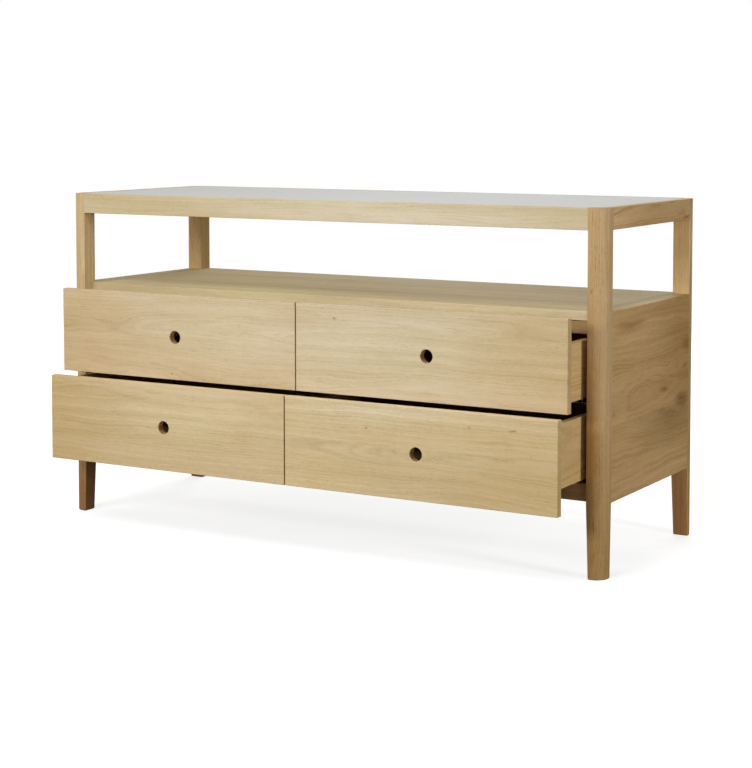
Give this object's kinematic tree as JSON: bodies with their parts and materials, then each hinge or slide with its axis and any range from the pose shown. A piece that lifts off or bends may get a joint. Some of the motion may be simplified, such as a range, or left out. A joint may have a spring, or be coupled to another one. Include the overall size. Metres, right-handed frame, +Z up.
{
  "type": "sideboard",
  "caption": "Oak sideboard on four tapered legs: framed satin glass top, open bay below it and drawers with round finger holes that slide on concealed runners.",
  "frame": {"origin": "on the floor, under the middle of the box that the sideboard fills with its drawers open as at rest; the middle of the four feet is 66 mm behind it", "axes": "+X to the right seen from the front, +Y to the back, +Z up; the drawers slide out along -Y"},
  "size_m": [1.4, 0.652, 0.775],
  "materials": {
    "solid_oak": "clear matt oiled",
    "drawer_box_oak": "clear matt oiled",
    "veneered_board": "matt veneer",
    "satin_glass": "satin, back-painted pale grey",
    "runner_steel": "galvanised",
    "clear_pad": "soft satin"
  },
  "bodies": {
    "case": {"back_panel": "veneered_board", "bearer_lower_left": "solid_oak", "bearer_lower_right": "solid_oak", "bearer_upper_left": "solid_oak", "bearer_upper_right": "solid_oak", "bottom_panel": "veneered_board", "bottom_rail_back": "solid_oak", "bottom_rail_front": "solid_oak", "centre_divider": "veneered_board", "glass_top": "satin_glass", "leg_back_left": "solid_oak", "leg_back_right": "solid_oak", "leg_front_left": "solid_oak", "leg_front_right": "solid_oak", "runner_case_lower_left": "runner_steel", "runner_case_lower_right": "runner_steel", "runner_case_upper_left": "runner_steel", "runner_case_upper_right": "runner_steel", "shelf_board": "solid_oak", "shelf_rail": "solid_oak", "side_panel_left": "solid_oak", "side_panel_right": "solid_oak", "top_rail_back": "solid_oak", "top_rail_front": "solid_oak", "top_rail_left": "solid_oak", "top_rail_right": "solid_oak", "top_support_board": "veneered_board"},
    "drawer_upper_left": {"drawer_upper_left_back": "drawer_box_oak", "drawer_upper_left_bottom": "drawer_box_oak", "drawer_upper_left_front": "solid_oak", "drawer_upper_left_inner_side": "drawer_box_oak", "drawer_upper_left_outer_side": "drawer_box_oak", "drawer_upper_left_pads": "clear_pad", "drawer_upper_left_runner": "runner_steel"},
    "runner_upper_left": {"runner_middle_upper_left": "runner_steel"},
    "drawer_upper_right": {"drawer_upper_right_back": "drawer_box_oak", "drawer_upper_right_bottom": "drawer_box_oak", "drawer_upper_right_front": "solid_oak", "drawer_upper_right_inner_side": "drawer_box_oak", "drawer_upper_right_outer_side": "drawer_box_oak", "drawer_upper_right_pads": "clear_pad", "drawer_upper_right_runner": "runner_steel"},
    "runner_upper_right": {"runner_middle_upper_right": "runner_steel"},
    "drawer_lower_left": {"drawer_lower_left_back": "drawer_box_oak", "drawer_lower_left_bottom": "drawer_box_oak", "drawer_lower_left_front": "solid_oak", "drawer_lower_left_inner_side": "drawer_box_oak", "drawer_lower_left_outer_side": "drawer_box_oak", "drawer_lower_left_pads": "clear_pad", "drawer_lower_left_runner": "runner_steel"},
    "runner_lower_left": {"runner_middle_lower_left": "runner_steel"},
    "drawer_lower_right": {"drawer_lower_right_back": "drawer_box_oak", "drawer_lower_right_bottom": "drawer_box_oak", "drawer_lower_right_front": "solid_oak", "drawer_lower_right_inner_side": "drawer_box_oak", "drawer_lower_right_outer_side": "drawer_box_oak", "drawer_lower_right_pads": "clear_pad", "drawer_lower_right_runner": "runner_steel"},
    "runner_lower_right": {"runner_middle_lower_right": "runner_steel"}
  },
  "joints": [
    {"name": "drawer_upper_left_slide", "type": "slide", "parent": "case", "child": "drawer_upper_left", "axis": [0, -1, 0], "range_m": [-0.09, 0.33]},
    {"name": "runner_upper_left_slide", "type": "slide", "parent": "case", "child": "runner_upper_left", "axis": [0, -1, 0], "range_m": [-0.0455, 0.1655]},
    {"name": "drawer_upper_right_slide", "type": "slide", "parent": "case", "child": "drawer_upper_right", "axis": [0, -1, 0], "range_m": [-0.09, 0.33]},
    {"name": "runner_upper_right_slide", "type": "slide", "parent": "case", "child": "runner_upper_right", "axis": [0, -1, 0], "range_m": [-0.0455, 0.1655]},
    {"name": "drawer_lower_left_slide", "type": "slide", "parent": "case", "child": "drawer_lower_left", "axis": [0, -1, 0], "range_m": [-0.136, 0.284]},
    {"name": "runner_lower_left_slide", "type": "slide", "parent": "case", "child": "runner_lower_left", "axis": [0, -1, 0], "range_m": [-0.0685, 0.1425]},
    {"name": "drawer_lower_right_slide", "type": "slide", "parent": "case", "child": "drawer_lower_right", "axis": [0, -1, 0], "range_m": [-0.136, 0.284]},
    {"name": "runner_lower_right_slide", "type": "slide", "parent": "case", "child": "runner_lower_right", "axis": [0, -1, 0], "range_m": [-0.0685, 0.1425]}
  ],
  "couplings": [
    {"joint": "runner_upper_left_slide", "follows": "drawer_upper_left_slide", "ratio": 0.5},
    {"joint": "runner_upper_right_slide", "follows": "drawer_upper_right_slide", "ratio": 0.5},
    {"joint": "runner_lower_left_slide", "follows": "drawer_lower_left_slide", "ratio": 0.5},
    {"joint": "runner_lower_right_slide", "follows": "drawer_lower_right_slide", "ratio": 0.5}
  ]
}
